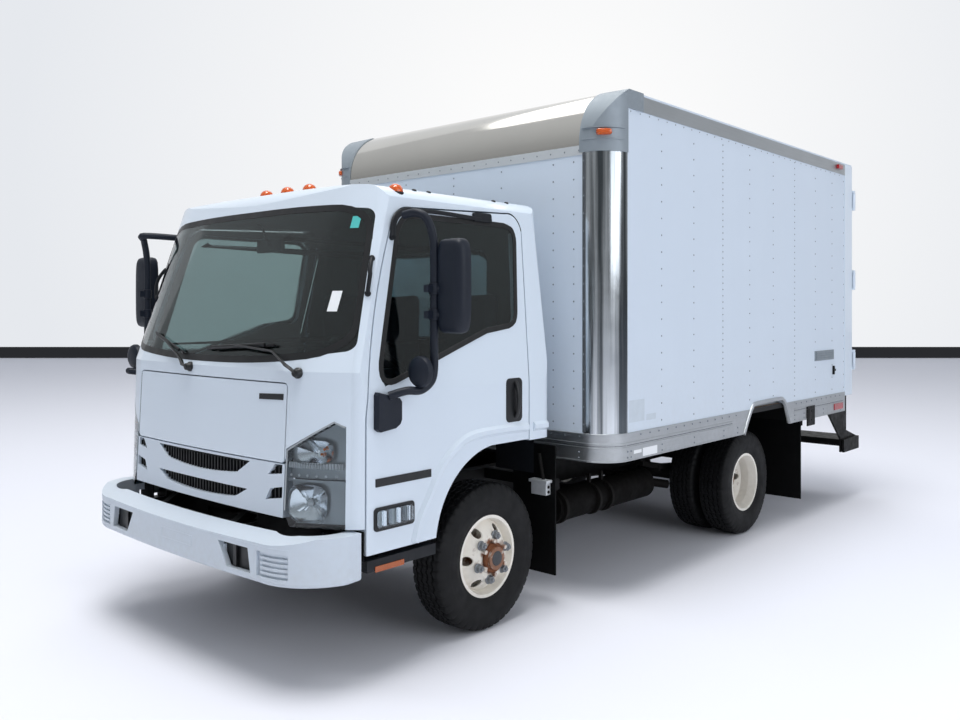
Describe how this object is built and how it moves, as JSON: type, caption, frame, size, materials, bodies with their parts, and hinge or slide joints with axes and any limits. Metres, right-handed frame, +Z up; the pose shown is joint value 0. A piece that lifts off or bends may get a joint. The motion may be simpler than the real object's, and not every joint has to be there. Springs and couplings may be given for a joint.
{
  "type": "box truck",
  "caption": "Cab-over light box truck with a tilting cab, opening doors and front lid, steered front wheels, twin rear wheels and a sheet-sided cargo box with a rounded bright front.",
  "frame": {"origin": "on the ground under the middle of the truck's overall length, on its centre line", "axes": "+X to the truck's left, +Y towards the rear doors, +Z up; the cab faces -Y"},
  "size_m": [2.586, 5.962, 2.952],
  "materials": {
    "white_paint": "aged gloss paint",
    "white_panel": "aged satin panel",
    "polished_steel": "bright worn stainless steel",
    "bare_aluminium": "bare weathered",
    "grey_cast": "cast, weathered",
    "black_frame": "dusty black paint",
    "black_iron": "dusty, lightly rusted",
    "engine_iron": "painted casting",
    "rusty_steel": "heat-stained and rusted",
    "floor_board": "worn boards",
    "white_moulding": "satin moulded",
    "dark_plastic": "matte moulded",
    "black_rubber": "worn rubber sheet",
    "tyre_rubber": "dusty tyre",
    "wheel_steel": "painted, rust at the hub",
    "lamp_plastic": "amber lens",
    "clear_lamp": "clear cover over a bright bowl",
    "window_glass": "lightly tinted",
    "seat_fabric": "woven cloth"
  },
  "bodies": {
    "chassis": {"frame_rails": "black_frame", "cargo_subframe": "black_frame", "cargo_floor": "floor_board", "cargo_sides": "white_panel", "cargo_front": "white_panel", "cargo_roof": "white_panel", "top_rails": "bare_aluminium", "corner_posts": "polished_steel", "nose_cap": "polished_steel", "corner_caps": "grey_cast", "skirt_rail": "bare_aluminium", "rear_frame": "white_paint", "rear_step": "black_frame", "front_bumper": "white_moulding", "front_axle": "black_iron", "leaf_springs": "black_iron", "rear_axle": "black_iron", "engine": "engine_iron", "propshaft": "black_iron", "exhaust": "rusty_steel", "fuel_tank": "black_frame", "mudflaps": "black_rubber", "marker_lamps": "lamp_plastic", "cab_steps": "dark_plastic"},
    "cab": {"cab_shell": "white_paint", "cab_floor": "white_paint", "wheel_liners": "dark_plastic", "cab_glass": "window_glass", "grille": "white_paint", "headlamps": "clear_lamp", "dashboard": "dark_plastic", "seats": "seat_fabric", "roof_lamps": "lamp_plastic"},
    "door_left": {"door_left": "white_paint", "door_glass_left": "window_glass", "mirror_left": "dark_plastic"},
    "door_right": {"door_right": "white_paint", "door_glass_right": "window_glass", "mirror_right": "dark_plastic"},
    "front_lid": {"front_lid": "white_paint"},
    "rear_door_left": {"rear_door_left": "white_panel"},
    "rear_door_right": {"rear_door_right": "white_panel"},
    "steering_wheel": {"steering_wheel": "dark_plastic"},
    "knuckle_left": {"knuckle_left": "black_iron"},
    "knuckle_right": {"knuckle_right": "black_iron"},
    "tie_rod": {"tie_rod": "black_iron"},
    "wheel_front_left": {"rim_front_left": "wheel_steel", "tyre_front_left": "tyre_rubber"},
    "wheel_front_right": {"rim_front_right": "wheel_steel", "tyre_front_right": "tyre_rubber"},
    "wheel_rear_left": {"rim_rear_left": "wheel_steel", "tyre_rear_left": "tyre_rubber"},
    "wheel_rear_right": {"rim_rear_right": "wheel_steel", "tyre_rear_right": "tyre_rubber"}
  },
  "joints": [
    {"name": "cab_tilt", "type": "hinge", "parent": "chassis", "child": "cab", "pos_m": [0, -2.833, 0.64], "axis": [1, 0, 0], "range_deg": [0, 45]},
    {"name": "door_left_swing", "type": "hinge", "parent": "cab", "child": "door_left", "pos_m": [1.005, -2.618, 1.1], "axis": [0, 0, -1], "range_deg": [0, 70]},
    {"name": "door_right_swing", "type": "hinge", "parent": "cab", "child": "door_right", "pos_m": [-1.005, -2.618, 1.1], "axis": [0, 0, 1], "range_deg": [0, 70]},
    {"name": "front_lid_lift", "type": "hinge", "parent": "cab", "child": "front_lid", "pos_m": [0, -2.806, 1.334], "axis": [-1, 0, 0], "range_deg": [0, 75]},
    {"name": "rear_door_left_swing", "type": "hinge", "parent": "chassis", "child": "rear_door_left", "pos_m": [1.233, 2.761, 1.8], "axis": [0, 0, -1], "range_deg": [0, 265]},
    {"name": "rear_door_right_swing", "type": "hinge", "parent": "chassis", "child": "rear_door_right", "pos_m": [-1.233, 2.761, 1.8], "axis": [0, 0, 1], "range_deg": [0, 265]},
    {"name": "steering_turn", "type": "hinge", "parent": "cab", "child": "steering_wheel", "pos_m": [0.52, -2.183, 1.4], "axis": [0, 0.5592, 0.829], "continuous": true},
    {"name": "steer_left", "type": "hinge", "parent": "chassis", "child": "knuckle_left", "pos_m": [0.725, -1.713, 0.381], "axis": [0, 0, 1], "range_deg": [-35, 35]},
    {"name": "steer_right", "type": "hinge", "parent": "chassis", "child": "knuckle_right", "pos_m": [-0.725, -1.713, 0.381], "axis": [0, 0, 1], "range_deg": [-35, 35]},
    {"name": "tie_rod_pivot", "type": "hinge", "parent": "knuckle_left", "child": "tie_rod", "pos_m": [0.725, -1.545, 0.29], "axis": [0, 0, 1], "range_deg": [-35, 35]},
    {"name": "spin_front_left", "type": "hinge", "parent": "knuckle_left", "child": "wheel_front_left", "pos_m": [0.8345, -1.713, 0.381], "axis": [1, 0, 0], "continuous": true},
    {"name": "spin_front_right", "type": "hinge", "parent": "knuckle_right", "child": "wheel_front_right", "pos_m": [-0.8345, -1.713, 0.381], "axis": [1, 0, 0], "continuous": true},
    {"name": "spin_rear_left", "type": "hinge", "parent": "chassis", "child": "wheel_rear_left", "pos_m": [0.821, 1.056, 0.381], "axis": [1, 0, 0], "continuous": true},
    {"name": "spin_rear_right", "type": "hinge", "parent": "chassis", "child": "wheel_rear_right", "pos_m": [-0.821, 1.056, 0.381], "axis": [1, 0, 0], "continuous": true}
  ],
  "couplings": [
    {"joint": "steer_right", "follows": "steer_left", "ratio": 1},
    {"joint": "tie_rod_pivot", "follows": "steer_left", "ratio": -1}
  ]
}
